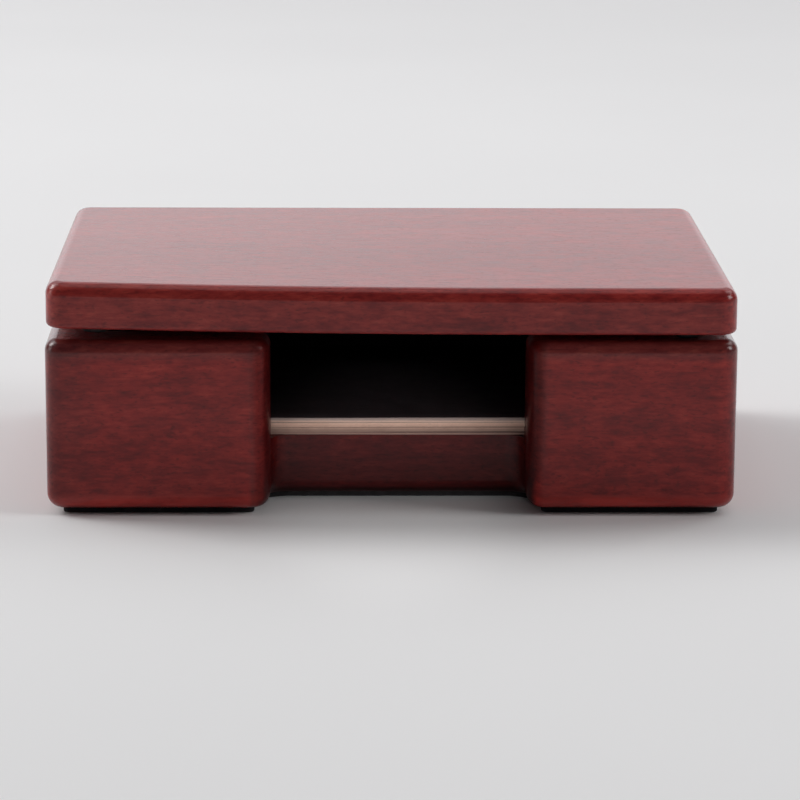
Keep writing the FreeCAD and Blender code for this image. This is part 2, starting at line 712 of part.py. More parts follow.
for word, side in (("left", "-"), ("right", "")):
    hinge_leaf("hinge_%s_base_leaf" % word, False, side)
    hinge_leaf("hinge_%s_lid_leaf" % word, True, side)

    # the pin turns in the lid leaf and is held between its two peened ends
    pin = new_body("hinge_%s_pin" % word)
    pin_plan = new_sketch(pin, "hinge_%s_pin_profile" % word, "XY_Plane")
    polygon(pin_plan, [
        ("-" + HALF + " - dims.pin_head_height", "0"),
        (HALF + " + dims.pin_head_height", "0"),
        (HALF + " + dims.pin_head_height", "dims.pin_radius"),
        (HALF, "dims.pin_head_radius"),
        (HALF, "dims.pin_radius"),
        ("-" + HALF, "dims.pin_radius"),
        ("-" + HALF, "dims.pin_head_radius"),
        ("-" + HALF + " - dims.pin_head_height", "dims.pin_radius"),
    ])
    turned = pin.newObject("PartDesign::Revolution", "hinge_%s_pin_turned" % word)
    turned.Profile = pin_plan
    turned.ReferenceAxis = (pin_plan, ["H_Axis"])
    turned.Angle = 360.0
    doc.recompute()
    pin.setExpression("Placement.Base.x", side + "dims.hinge_side")
    pin.setExpression("Placement.Base.y", PIN_Y)
    pin.setExpression("Placement.Base.z", PIN_Z)


# ------------------------------------------------------------------- screws

def screw(name, px, upper):
    """A countersunk wood screw, its head at the origin and its point down."""
    body = new_body(name)
    profile = new_sketch(body, name + "_profile", "XZ_Plane")
    polygon(profile, [
        ("0", "0"),
        ("dims.screw_head_radius", "0"),
        ("dims.screw_radius", "-dims.screw_head_depth"),
        ("dims.screw_radius", "-dims.screw_length + dims.screw_tip"),
        ("0", "-dims.screw_length"),
    ])
    turned = body.newObject("PartDesign::Revolution", name + "_turned")
    turned.Profile = profile
    turned.ReferenceAxis = (profile, ["V_Axis"])
    turned.Angle = 360.0
    doc.recompute()
    for number, (long_x, long_y) in enumerate(
            (("recess_span", "recess_width"), ("recess_width", "recess_span")), 1):
        arm = new_sketch(body, "%s_arm_plan_%d" % (name, number), "XY_Plane", "0.2")
        rectangle(arm, "-dims.%s / 2" % long_x, "dims.%s / 2" % long_x,
                  "-dims.%s / 2" % long_y, "dims.%s / 2" % long_y)
        pocket(body, "%s_arm_%d" % (name, number), arm, "dims.recess_depth + 0.2")
    body.setExpression("Placement.Base.x", px)
    body.setExpression("Placement.Base.y", PIN_Y + " - dims.screw_setback")
    if upper:
        body.Placement = FreeCAD.Placement(
            FreeCAD.Vector(0, 0, 0), FreeCAD.Rotation(FreeCAD.Vector(1, 0, 0), 180.0))
        body.setExpression("Placement.Base.z",
                           PIN_Z + " + dims.lid_gap / 2 - dims.leaf_thickness")
    else:
        body.setExpression("Placement.Base.z",
                           PIN_Z + " - dims.lid_gap / 2 + dims.leaf_thickness")
    return body


groups = []
for group, upper in (("base_hinge_screws", False), ("lid_hinge_screws", True)):
    members = []
    for number, (side, half) in enumerate(
            (("-", " - "), ("-", " + "), ("", " - "), ("", " + ")), 1):
        members.append(screw("%s_%d" % (group, number),
                             side + "dims.hinge_side" + half + "dims.screw_spacing / 2",
                             upper))
    whole = doc.addObject("Part::Compound", group)
    whole.Label = group
    whole.Links = members
    groups.append(whole)
doc.recompute()

# -------------------------------------------------------------------- cards

cards = []
for number in range(1, len(CARD_LIE) + 1):
    name = "business_card_%d" % number
    card = doc.addObject("Part::Box", name)
    card.Label = name
    card.setExpression("Length", "dims.card_long")
    card.setExpression("Width", "dims.card_short")
    card.setExpression("Height", "dims.card_thickness")
    card.Placement = FreeCAD.Placement(
        FreeCAD.Vector(0, 0, 0), FreeCAD.Rotation(FreeCAD.Vector(0, 0, 1), 1.0))
    turn = "dims.card_%d_turn * 1 deg" % number
    middle = "(-dims.card_front + dims.card_short / 2 + dims.card_%d_back)" % number
    card.setExpression("Placement.Rotation.Angle", turn)
    card.setExpression(
        "Placement.Base.x",
        "dims.card_%d_right - dims.card_long / 2 * cos(%s) + dims.card_short / 2 * sin(%s)"
        % (number, turn, turn))
    card.setExpression(
        "Placement.Base.y",
        "%s - dims.card_long / 2 * sin(%s) - dims.card_short / 2 * cos(%s)"
        % (middle, turn, turn))
    card.setExpression("Placement.Base.z",
                       "dims.floor_level + dims.card_rest + %d * dims.card_pitch"
                       % (number - 1))
    cards.append(card)

doc.recompute()

# ------------------------------------------------------- checks and export

problems = []
for thing in doc.Objects:
    if "Invalid" in thing.State or "Error" in thing.State:
        problems.append("%s is %s" % (thing.Name, thing.State))

NODES = [
    "base_block", "base_pad", "well_floor_felt", "well_wall_felt",
    "hinge_left_base_leaf", "hinge_right_base_leaf",
    "hinge_left_pin", "hinge_right_pin", "base_hinge_screws",
    "lid_board", "lid_lining_felt", "lid_bumper_left", "lid_bumper_right",
    "hinge_left_lid_leaf", "hinge_right_lid_leaf", "lid_hinge_screws",
] + ["business_card_%d" % n for n in range(1, len(CARD_LIE) + 1)]

ready = []
for name in NODES:
    thing = doc.getObject(name)
    if thing is None:
        problems.append(name + " is missing")
        continue
    shape = thing.Shape
    if shape.isNull() or not shape.isValid() or not shape.Solids:
        problems.append(name + " has no valid solid")
        continue
    box = shape.BoundBox
    print("%-24s %2d solid(s) %10.2f mm3  x %7.2f %7.2f  y %7.2f %7.2f  z %6.2f %6.2f"
          % (name, len(shape.Solids), shape.Volume, box.XMin, box.XMax,
             box.YMin, box.YMax, box.ZMin, box.ZMax))
    ready.append((name, shape))

if problems:
    raise RuntimeError("; ".join(problems))

os.makedirs("parts", exist_ok=True)
for name, shape in ready:
    shape.exportStep("parts/%s.step" % name)
print("wrote %d sub-parts" % len(ready))
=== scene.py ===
import math
import random

import bpy
from mathutils import Matrix, Vector, noise
from mathutils.geometry import delaunay_2d_cdt


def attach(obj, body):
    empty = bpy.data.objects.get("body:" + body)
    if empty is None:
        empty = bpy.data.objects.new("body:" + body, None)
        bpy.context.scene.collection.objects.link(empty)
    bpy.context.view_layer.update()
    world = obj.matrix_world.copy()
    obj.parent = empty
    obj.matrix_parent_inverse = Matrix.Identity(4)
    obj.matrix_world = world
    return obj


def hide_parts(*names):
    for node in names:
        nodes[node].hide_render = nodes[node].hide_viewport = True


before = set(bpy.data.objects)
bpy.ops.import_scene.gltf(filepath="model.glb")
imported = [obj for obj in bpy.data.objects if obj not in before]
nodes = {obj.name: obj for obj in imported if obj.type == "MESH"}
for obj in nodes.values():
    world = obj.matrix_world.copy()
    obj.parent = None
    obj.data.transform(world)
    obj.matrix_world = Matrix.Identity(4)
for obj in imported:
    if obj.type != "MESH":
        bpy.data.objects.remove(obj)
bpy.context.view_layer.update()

# A business card holder: a milled hardwood block with a card well, a finger
# notch through its front, a flat hinged board as the lid, felt linings and a
# pack of cards. Shape code below works in millimetres, the scene is in metres.
MM = 0.001


def rise(x, y):
    """How far the lid board has bowed up at (x, y), in millimetres."""
    return 1.05 * max(0.0, (28.0 - x) / 82.75) ** 2 * (38.0 - y) / 76.0


def smooth(t):
    t = min(1.0, max(0.0, t))
    return t * t * (3.0 - 2.0 * t)


# ---------------------------------------------------------------- materials


class Shader:
    """A material whose node tree is built in short calls."""

    def __init__(self, name, fixed):
        self.material = bpy.data.materials.new(name)
        self.material.use_nodes = True
        self.tree = self.material.node_tree
        self.tree.nodes.clear()
        out = self.tree.nodes.new("ShaderNodeOutputMaterial")
        self.bsdf = self.tree.nodes.new("ShaderNodeBsdfPrincipled")
        self.tree.links.new(self.bsdf.outputs[0], out.inputs[0])
        for socket, value in fixed.items():
            self.bsdf.inputs[socket].default_value = value

    def node(self, kind, inputs=None, **settings):
        n = self.tree.nodes.new(kind)
        for key, value in settings.items():
            setattr(n, key, value)
        for key, value in (inputs or {}).items():
            if isinstance(value, bpy.types.NodeSocket):
                self.tree.links.new(value, n.inputs[key])
            else:
                n.inputs[key].default_value = value
        return n

    def feed(self, socket, value):
        self.tree.links.new(value, self.bsdf.inputs[socket])

    def math(self, operation, a, b=0.0, clamp=False):
        return self.node("ShaderNodeMath", {0: a, 1: b}, operation=operation, use_clamp=clamp).outputs[0]

    def vector(self, operation, a, b=(0.0, 0.0, 0.0)):
        return self.node("ShaderNodeVectorMath", {0: a, 1: b}, operation=operation).outputs[0]

    def mm(self, shift=(0.0, 0.0, 0.0)):
        """The piece's own coordinates in millimetres, moved by shift."""
        coords = self.node("ShaderNodeTexCoord").outputs["Object"]
        return self.vector("ADD", self.vector("MULTIPLY", coords, (1000.0, 1000.0, 1000.0)), shift)

    def xyz(self, vector):
        return self.node("ShaderNodeSeparateXYZ", {0: vector}).outputs

    def join(self, x, y, z):
        return self.node("ShaderNodeCombineXYZ", {0: x, 1: y, 2: z}).outputs[0]

    def noise(self, vector, factors, detail=2.0, roughness=0.5, distortion=0.0, colour=False):
        n = self.node(
            "ShaderNodeTexNoise",
            {"Vector": self.vector("MULTIPLY", vector, factors), "Scale": 1.0, "Detail": detail,
             "Roughness": roughness, "Distortion": distortion},
        )
        return n.outputs["Color" if colour else "Fac"]

    def cells(self, vector, factors, feature="F1", randomness=1.0):
        n = self.node(
            "ShaderNodeTexVoronoi",
            {"Vector": self.vector("MULTIPLY", vector, factors), "Scale": 1.0, "Randomness": randomness},
            feature=feature,
        )
        return n.outputs["Distance"]

    def band(self, value, low, high, to_low=0.0, to_high=1.0, smoothed=True):
        n = self.node(
            "ShaderNodeMapRange",
            {"Value": value, "From Min": low, "From Max": high, "To Min": to_low, "To Max": to_high},
            interpolation_type="SMOOTHSTEP" if smoothed else "LINEAR",
        )
        return n.outputs[0]

    def tones(self, value, stops):
        """A colour ramp from (position, (r, g, b)) stops."""
        ramp = self.node("ShaderNodeValToRGB", {0: value})
        elements = ramp.color_ramp.elements
        while len(elements) < len(stops):
            elements.new(0.5)
        for element, (place, colour) in zip(elements, stops):
            element.position = place
            element.color = (*colour, 1.0)
        return ramp.outputs[0]

    def mix(self, factor, a, b, blend="MIX"):
        n = self.node("ShaderNodeMix", data_type="RGBA", blend_type=blend)
        for index, value in ((0, factor), (6, a), (7, b)):
            if isinstance(value, bpy.types.NodeSocket):
                self.tree.links.new(value, n.inputs[index])
            elif index:
                n.inputs[index].default_value = (*value, 1.0)
            else:
                n.inputs[index].default_value = value
        return n.outputs[2]

    def bump(self, height, depth_mm, strength=1.0, under=None):
        inputs = {"Height": height, "Distance": depth_mm * MM, "Strength": strength}
        if under is not None:
            inputs["Normal"] = under
        return self.node("ShaderNodeBump", inputs).outputs[0]


def edge_places(s, p, half_x, half_y, low, high, width):
    """1 on the box's edges and corners, 0 a width away from them."""
    x, y, z = s.xyz(p)
    ex = s.band(s.math("ABSOLUTE", x), half_x - width, half_x)
    ey = s.band(s.math("ABSOLUTE", y), half_y - width, half_y)
    ez = s.math("MAXIMUM", s.band(z, high - width, high), s.band(z, low + width, low))
    pairs = s.math("MAXIMUM", s.math("MULTIPLY", ex, ey), s.math("MULTIPLY", ex, ez))
    return s.math("MAXIMUM", pairs, s.math("MULTIPLY", ey, ez))


def wood(name, shift, pith, half_x, half_y, low, high, sheen, notched=False):
    """Red-stained close-grained hardwood under satin lacquer, grain along X."""
    s = Shader(name, {
        "Specular IOR Level": 0.06, "IOR": 1.5,
        "Coat Weight": 1.0, "Coat IOR": 1.36, "Coat Roughness": 0.19,
        "Sheen Weight": sheen, "Sheen Roughness": 0.40, "Sheen Tint": (0.55, 0.060, 0.070, 1.0),
    })
    plain = s.mm()
    p = s.vector("ADD", plain, shift)
    # the grain wanders a little across its length
    wander = s.noise(p, (0.009, 0.030, 0.030), 2.0, colour=True)
    wander = s.vector("MULTIPLY", s.vector("SUBTRACT", wander, (0.5, 0.5, 0.5)), (0.0, 4.0, 4.0))
    q = s.vector("ADD", p, wander)
    ripple = s.noise(q, (0.10, 0.35, 0.35), 1.0, colour=True)
    ripple = s.vector("MULTIPLY", s.vector("SUBTRACT", ripple, (0.5, 0.5, 0.5)), (0.0, 0.6, 0.6))
    q = s.vector("ADD", q, ripple)
    x, y, z = s.xyz(q)
    dy = s.math("SUBTRACT", y, pith[0])
    dz = s.math("SUBTRACT", z, pith[1])
    ring = s.math("SQRT", s.math("ADD", s.math("MULTIPLY", dy, dy), s.math("MULTIPLY", dz, dz)))
    ringed = s.join(s.math("MULTIPLY", x, 0.007), s.math("MULTIPLY", ring, 0.34), 3.7)
    years = s.noise(ringed, (1.0, 1.0, 1.0), 3.0, 0.62)
    fibres = s.noise(q, (0.55, 2.2, 2.2), 3.0, 0.6)
    streaks = s.noise(q, (0.30, 0.95, 0.95), 3.0, 0.60)
    cloud = s.noise(p, (0.14, 0.26, 0.26), 3.0, 0.55)
    pores = s.band(s.noise(q, (1.10, 3.2, 3.2), 1.0, 0.4), 0.57, 0.76)
    long_pores = s.band(s.noise(s.vector("ADD", q, (31.0, 17.0, 5.0)), (0.22, 2.4, 2.4), 1.0, 0.4), 0.60, 0.78)
    pores = s.math("MAXIMUM", pores, s.math("MULTIPLY", long_pores, 0.8))

    tone = s.math("MULTIPLY", years, 0.22)
    tone = s.math("ADD", tone, s.math("MULTIPLY", fibres, 0.24))
    tone = s.math("ADD", tone, s.math("MULTIPLY", cloud, 0.23))
    tone = s.math("ADD", tone, s.math("MULTIPLY", streaks, 0.31))
    colour = s.tones(tone, [
        (0.37, (0.114, 0.0050, 0.0060)),
        (0.46, (0.190, 0.0092, 0.0092)),
        (0.54, (0.264, 0.0156, 0.0136)),
        (0.65, (0.375, 0.0310, 0.0230)),
    ])
    colour = s.mix(s.math("MULTIPLY", pores, 0.46), colour, (0.048, 0.0044, 0.0052))
    # the stain is thinner where an edge was eased and handled
    edges = edge_places(s, plain, half_x, half_y, low, high, 2.2)
    rubbed = s.band(s.noise(p, (0.10, 0.35, 0.35), 3.0, 0.6), 0.42, 0.66)
    worn = s.math("MULTIPLY", edges, rubbed)
    colour = s.mix(s.math("MULTIPLY", worn, 0.24), colour, (0.380, 0.0270, 0.0200))
    if not notched:
        colour = s.mix(1.0, colour, (1.07, 1.05, 1.03), blend="MULTIPLY")
        # towards the right the top is painted a little redder and its lacquer thinner, a painted change of light and
        # reflection across the top
        x, y, z = s.xyz(plain)
        painted_right_light = s.math("MULTIPLY", s.band(x, -25.0, 45.0), s.band(z, 34.6, 36.2))
        colour = s.mix(painted_right_light, colour, (1.13, 1.0, 1.0), blend="MULTIPLY")
        # the front face is painted paler in green and blue, a painted reflection of the floor in front
        painted_floor_reflection = s.band(y, -35.4, -37.2)
        colour = s.mix(painted_floor_reflection, colour, (1.0, 1.62, 1.58), blend="MULTIPLY")
        s.feed("Coat Weight", s.math("SUBTRACT", 1.0, s.math("MULTIPLY", painted_right_light, 0.09), clamp=True))
    else:
        x, y, z = s.xyz(plain)
        wide, deep_in = s.math("ABSOLUTE", x), s.math("ABSOLUTE", y)
        # the milled faces of the notch are painted darker, most of all on their flanks and at the foot, as painted
        # shade in the recess, and take less lacquer, which dims their reflections as painted shade too
        inward = s.band(y, -24.3, -24.9)
        # the painted shade's border on the right nose draws in towards the foot
        leaned = s.math("ADD", x, s.band(z, 8.0, 3.5, 0.0, 0.6))
        notch_shade = s.math("MULTIPLY", s.band(x, -21.9, -19.8), s.band(leaned, 24.1, 22.7))
        notch_shade = s.math("MULTIPLY", notch_shade, inward)
        left_flank = s.math("MULTIPLY", s.band(x, -18.2, -19.6), s.band(x, -20.9, -19.9))
        right_flank = s.math("MULTIPLY", s.band(x, 20.4, 21.8), s.band(x, 23.0, 21.8))
        flank_shade = s.math("MULTIPLY", inward, s.math("MAXIMUM", left_flank, right_flank))
        outside = s.math("SUBTRACT", 1.0, notch_shade)
        # on the noses the lacquer is thinned, painted shade on their reflections
        nose_dimmed = s.math("MULTIPLY", s.band(x, -22.7, -21.1), s.band(x, 24.8, 23.2))
        nose_dimmed = s.math("MULTIPLY", nose_dimmed, inward)
        nose_inner = s.math("MAXIMUM", s.band(x, -19.0, -20.6), s.band(x, 21.2, 22.8))
        dimmed_reflection = s.math("MULTIPLY", nose_dimmed, s.band(nose_inner, 0.0, 1.0, 0.40, 0.70))
        # the lacquer is thinner low on the faces, and hardly there at the foot and the upper corners of the notch:
        # painted shade that dims the reflections there
        thin = s.math("MULTIPLY", s.band(z, 17.5, 9.0), s.band(z, low + 1.4, low + 3.0))
        dimmed_reflection = s.math("MAXIMUM", dimmed_reflection, s.math("MULTIPLY", thin, 0.20))
        ends = s.math("MAXIMUM", s.band(z, 2.6, 1.8), s.band(z, 25.6, 26.8))
        dimmed_reflection = s.math("MAXIMUM", dimmed_reflection, s.math("MULTIPLY", s.math("MULTIPLY", nose_dimmed, ends), 0.92))
        s.feed("Coat Weight", s.math("SUBTRACT", 1.0, dimmed_reflection, clamp=True))
        # low on the faces the colour is painted a little warmer, part of the same painted shade
        colour = s.mix(thin, colour, (1.04, 0.99, 0.96), blend="MULTIPLY")
        # the middle of the front's height is painted lighter and warmer, painted light between the darker top and foot
        painted_mid_light = s.band(z, 8.0, 19.0)
        colour = s.mix(painted_mid_light, colour, (1.10, 1.06, 1.03), blend="MULTIPLY")
        # the foot is painted paler where the edge turns under, painted light from the floor, broken up by the
        # rubbed-edge noise
        foot = s.math("MULTIPLY", s.band(z, low + 3.0, low + 1.5), s.band(z, low + 0.1, low + 0.9))
        foot = s.math("MULTIPLY", foot, s.band(rubbed, 0.0, 1.0, 0.55, 1.0))
        colour = s.mix(s.math("MULTIPLY", foot, outside), colour, (0.460, 0.0370, 0.0290))
        # painted shade in the recess of the notch, deeper on its flanks
        colour = s.mix(notch_shade, colour, (0.34, 0.36, 0.40), blend="MULTIPLY")
        colour = s.mix(flank_shade, colour, (0.70, 0.74, 0.78), blend="MULTIPLY")
        # a painted line of shade where each nose turns into the front
        left_nose_shade = s.math("MULTIPLY", s.band(x, -23.1, -22.0), s.band(x, -20.4, -21.2))
        left_nose_shade = s.math("MULTIPLY", left_nose_shade, s.band(z, 8.0, 3.5, 0.62, 1.0))
        right_nose_shade = s.math("MULTIPLY", s.band(x, 22.8, 23.6), s.band(x, 24.8, 23.9))
        right_nose_shade = s.math("MULTIPLY", right_nose_shade, s.band(z, 6.0, 10.0, 0.0, 0.62))
        turn = s.math("MULTIPLY", s.math("MAXIMUM", left_nose_shade, right_nose_shade), inward)
        turn = s.math("MULTIPLY", turn, s.band(deep_in, 31.0, 34.0))
        colour = s.mix(turn, colour, (0.52, 0.70, 0.72), blend="MULTIPLY")
        # painted shade deepening down the notch towards its foot
        notch_low_shade = s.math("MULTIPLY", notch_shade, s.band(z, 9.6, 4.2))
        colour = s.mix(notch_low_shade, colour, (0.62, 0.64, 0.66), blend="MULTIPLY")
        notch_foot_shade = s.math("MULTIPLY", notch_shade, s.band(z, 2.7, 1.6))
        colour = s.mix(notch_foot_shade, colour, (0.30, 0.30, 0.34), blend="MULTIPLY")
        # a painted shadow of the lid lies along the block's top edges, round the mouth
        border = s.math("MAXIMUM", s.band(wide, half_x - 2.8, half_x - 1.8), s.band(deep_in, half_y - 2.8, half_y - 1.8))
        lid_shadow = s.math("MULTIPLY", border, s.band(z, 24.9, 27.3))
        colour = s.mix(s.math("MULTIPLY", lid_shadow, outside), colour, (0.59, 1.45, 1.50), blend="MULTIPLY")
        # the block's upright corners are painted darker, painted shade where the faces turn away from the light
        corner_shade = s.math("MULTIPLY", s.band(wide, 52.2, 54.4), s.band(deep_in, 31.5, 35.2))
        colour = s.mix(corner_shade, colour, (0.66, 0.72, 0.76), blend="MULTIPLY")
        # the front is darker towards its left end
        patch = s.math("MULTIPLY", s.band(x, -44.5, -52.0), s.band(y, -36.0, -37.5))
        colour = s.mix(patch, colour, (0.80, 0.92, 0.96), blend="MULTIPLY")
    s.feed("Base Color", colour)

    rough = s.math("ADD", s.math("MULTIPLY", fibres, 0.22), s.math("MULTIPLY", cloud, 0.12))
    rough = s.math("ADD", rough, s.math("MULTIPLY", pores, 0.18))
    s.feed("Roughness", s.math("ADD", rough, 0.26, clamp=True))

    relief = s.math("SUBTRACT", s.math("MULTIPLY", fibres, 0.35), pores)
    grained = s.bump(relief, 0.012, 0.5)
    s.feed("Normal", grained)
    skin = s.math("ADD", s.math("MULTIPLY", s.noise(p, (0.25, 0.8, 0.8), 2.0), 0.7),
                  s.math("MULTIPLY", relief, 0.18))
    s.feed("Coat Normal", s.bump(skin, 0.006, 0.35))
    return s.material


def felt(name, tint=(0.026, 0.0235, 0.0265), pile=1.0, sheen=0.22):
    """Short-pile pressed felt: matted fibres, small pills and a little lint."""
    s = Shader(name, {
        "Specular IOR Level": 0.12, "Sheen Weight": sheen, "Sheen Roughness": 0.55,
        "Sheen Tint": (0.55, 0.54, 0.56, 1.0),
    })
    p = s.mm((3.0, 11.0, 7.0))
    curl = s.noise(p, (1.3, 1.3, 1.3), 2.0, colour=True)
    curl = s.vector("MULTIPLY", s.vector("SUBTRACT", curl, (0.5, 0.5, 0.5)), (1.6, 1.6, 1.6))
    q = s.vector("ADD", p, curl)
    hairs_a = s.noise(q, (1.1, 7.5, 5.0), 2.0, 0.6)
    hairs_b = s.noise(q, (7.5, 1.1, 5.0), 2.0, 0.6)
    hairs = s.math("MAXIMUM", hairs_a, hairs_b)
    matted = s.noise(p, (0.55, 0.55, 0.55), 3.0, 0.55)
    clumps = s.cells(q, (1.5, 1.5, 1.5))
    low = tuple(c * 0.45 for c in tint)
    high = tuple(c * 2.1 for c in tint)
    tone = s.math("ADD", s.math("MULTIPLY", hairs, 0.6), s.math("MULTIPLY", matted, 0.4))
    colour = s.tones(tone, [(0.34, low), (0.52, tint), (0.70, high)])
    lint = s.band(s.noise(s.vector("ADD", q, (40.0, 9.0, 2.0)), (2.4, 2.4, 2.4), 1.0, 0.3), 0.735, 0.79)
    colour = s.mix(s.math("MULTIPLY", lint, 0.5), colour, (0.070, 0.066, 0.064))
    s.feed("Base Color", colour)
    s.feed("Roughness", s.band(matted, 0.3, 0.7, 0.84, 0.98, smoothed=False))
    height = s.math("ADD", s.math("MULTIPLY", hairs, 0.75), s.math("MULTIPLY", clumps, 0.35))
    s.feed("Normal", s.bump(height, 0.16 * pile, 0.75))
    return s.material


def brass(name):
    """Brass plate with drawn-in brushing, fine scratches and dulled patches."""
    s = Shader(name, {"Metallic": 1.0, "IOR": 1.45})
    p = s.mm((5.0, 2.0, 9.0))
    brush = s.noise(p, (0.35, 9.0, 9.0), 2.0, 0.6)
    dull = s.noise(p, (0.32, 0.32, 0.32), 4.0, 0.6)
    spots = s.band(s.noise(p, (1.3, 1.3, 1.3), 2.0, 0.5), 0.60, 0.74)
    slanted = s.noise(s.node("ShaderNodeVectorRotate", {"Vector": p, "Angle": 0.6}).outputs[0], (0.22, 12.0, 6.0), 1.0, 0.5)
    scratch = s.band(slanted, 0.66, 0.74)
    colour = s.tones(dull, [
        (0.30, (0.60, 0.415, 0.165)),
        (0.50, (0.70, 0.500, 0.215)),
        (0.70, (0.79, 0.595, 0.280)),
    ])
    colour = s.mix(s.math("MULTIPLY", spots, 0.20), colour, (0.36, 0.220, 0.085))
    s.feed("Base Color", colour)
    rough = s.math("ADD", s.math("MULTIPLY", brush, 0.20), s.math("MULTIPLY", dull, 0.14))
    rough = s.math("ADD", rough, s.math("MULTIPLY", spots, 0.10))
    s.feed("Roughness", s.math("ADD", rough, 0.20, clamp=True))
    height = s.math("SUBTRACT", s.math("MULTIPLY", brush, 0.4), scratch)
    s.feed("Normal", s.bump(height, 0.010, 0.5))
    return s.material


def steel(name):
    """Drawn steel wire: lines along its length, a film of oil gone brown."""
    s = Shader(name, {"Metallic": 1.0, "IOR": 2.5})
    p = s.mm((1.0, 6.0, 4.0))
    drawn = s.noise(p, (0.18, 7.0, 7.0), 2.0, 0.6)
    film = s.noise(p, (0.7, 0.7, 0.7), 3.0, 0.6)
    s.feed("Base Color", s.tones(film, [
        (0.32, (0.270, 0.235, 0.200)), (0.52, (0.450, 0.440, 0.420)), (0.70, (0.580, 0.575, 0.560)),
    ]))
    s.feed("Roughness", s.math("ADD", s.math("MULTIPLY", drawn, 0.24), s.math("MULTIPLY", film, 0.22), clamp=True))
    s.feed("Normal", s.bump(drawn, 0.008, 0.5))
    return s.material


def plated_screw(name):
    """Brass-plated steel: turned rings on the head, plating thin at the edges."""
    s = Shader(name, {"Metallic": 1.0, "IOR": 1.6})
    p = s.mm((2.0, 4.0, 6.0))
    turned = s.noise(p, (5.0, 5.0, 1.5), 2.0, 0.6)
    thin = s.noise(p, (0.9, 0.9, 0.9), 3.0, 0.6)
    colour = s.tones(thin, [
        (0.30, (0.34, 0.265, 0.165)), (0.48, (0.60, 0.445, 0.215)), (0.68, (0.72, 0.560, 0.300)),
    ])
    colour = s.mix(s.band(turned, 0.60, 0.75, 0.0, 0.45), colour, (0.43, 0.42, 0.40))
    s.feed("Base Color", colour)
    s.feed("Roughness", s.math("ADD", s.math("MULTIPLY", turned, 0.26), s.math("MULTIPLY", thin, 0.22), clamp=True))
    s.feed("Normal", s.bump(turned, 0.012, 0.5))
    return s.material


def rubber(name):
    """Satin moulded rubber, fine mould grain, dust held on its face."""
    s = Shader(name, {"Specular IOR Level": 0.22})
    p = s.mm((8.0, 1.0, 5.0))
    grain = s.noise(p, (5.5, 5.5, 5.5), 2.0, 0.55)
    dust = s.band(s.noise(p, (0.9, 0.9, 0.9), 4.0, 0.65), 0.48, 0.70)
    colour = s.tones(grain, [(0.35, (0.008, 0.008, 0.0085)), (0.65, (0.017, 0.017, 0.018))])
    colour = s.mix(s.math("MULTIPLY", dust, 0.22), colour, (0.060, 0.056, 0.052))
    s.feed("Base Color", colour)
    s.feed("Roughness", s.math("ADD", s.math("MULTIPLY", dust, 0.25), s.band(grain, 0.3, 0.7, 0.42, 0.58), clamp=True))
    s.feed("Normal", s.bump(grain, 0.030, 0.5))
    return s.material


def card_paper(name):
    """Coated cream board: cloudy sheet formation, fibres, guillotined edges.
    The pack is painted darker and warmer towards its lowest card, as painted shade, and darker along the top card's
    edge."""
    s = Shader(name, {"Specular IOR Level": 0.60})
    plain = s.mm()
    x, y, z = s.xyz(plain)
    p = s.vector("ADD", plain, (9.0, 3.0, 1.0))
    formation = s.noise(p, (0.55, 0.55, 0.8), 4.0, 0.6)
    fibre = s.noise(p, (1.7, 3.4, 10.0), 3.0, 0.6, 0.6)
    ply = s.noise(p, (0.16, 0.16, 9.0), 2.0, 0.5)
    nick = s.band(s.noise(p, (2.1, 2.1, 3.0), 1.0, 0.4), 0.66, 0.76)
    tone = s.math("ADD", s.math("MULTIPLY", formation, 0.35), s.math("MULTIPLY", fibre, 0.30))
    tone = s.math("ADD", tone, s.math("MULTIPLY", ply, 0.35))
    sheet = s.tones(tone, [
        (0.32, (0.86, 0.84, 0.80)), (0.50, (0.96, 0.95, 0.93)), (0.68, (1.0, 1.0, 1.0)),
    ])
    # the pack is painted darker and warmer towards its lowest card, as painted shade, and darker again along the top
    # card's edge
    level = s.math("ADD", z, s.math("MULTIPLY", s.math("SUBTRACT", formation, 0.5), 0.35))
    level = s.band(level, 11.0, 13.8, smoothed=False)
    colour = s.tones(level, [
        (0.04, (0.36, 0.210, 0.175)), (0.18, (0.40, 0.250, 0.205)), (0.30, (0.48, 0.310, 0.245)),
        (0.42, (0.68, 0.440, 0.350)), (0.55, (0.86, 0.565, 0.445)), (0.70, (0.94, 0.645, 0.525)),
        (0.80, (0.78, 0.565, 0.480)), (0.90, (0.42, 0.320, 0.300)),
    ])
    colour = s.mix(1.0, colour, sheet, blend="MULTIPLY")
    colour = s.mix(s.math("MULTIPLY", nick, 0.22), colour, (0.48, 0.36, 0.27))
    s.feed("Base Color", colour)
    s.feed("Roughness", s.band(fibre, 0.3, 0.7, 0.68, 0.90, smoothed=False))
    s.feed("Normal", s.bump(s.math("ADD", fibre, s.math("MULTIPLY", formation, 0.6)), 0.020, 0.5))
    return s.material


def card_print(name):
    """Solid black ink over the card's face, paper tooth showing through it."""
    s = Shader(name, {"Specular IOR Level": 0.20})
    p = s.mm((4.0, 7.0, 2.0))
    tooth = s.noise(p, (3.2, 3.2, 3.2), 3.0, 0.6)
    lay = s.noise(p, (0.30, 0.30, 0.30), 3.0, 0.5)
    colour = s.tones(s.math("ADD", s.math("MULTIPLY", tooth, 0.5), s.math("MULTIPLY", lay, 0.5)), [
        (0.34, (0.0440, 0.0330, 0.0370)), (0.52, (0.0600, 0.0460, 0.0510)), (0.70, (0.0800, 0.0640, 0.0700)),
    ])
    s.feed("Base Color", colour)
    s.feed("Roughness", s.band(lay, 0.3, 0.7, 0.50, 0.72, smoothed=False))
    s.feed("Normal", s.bump(tooth, 0.014, 0.5))
    return s.material


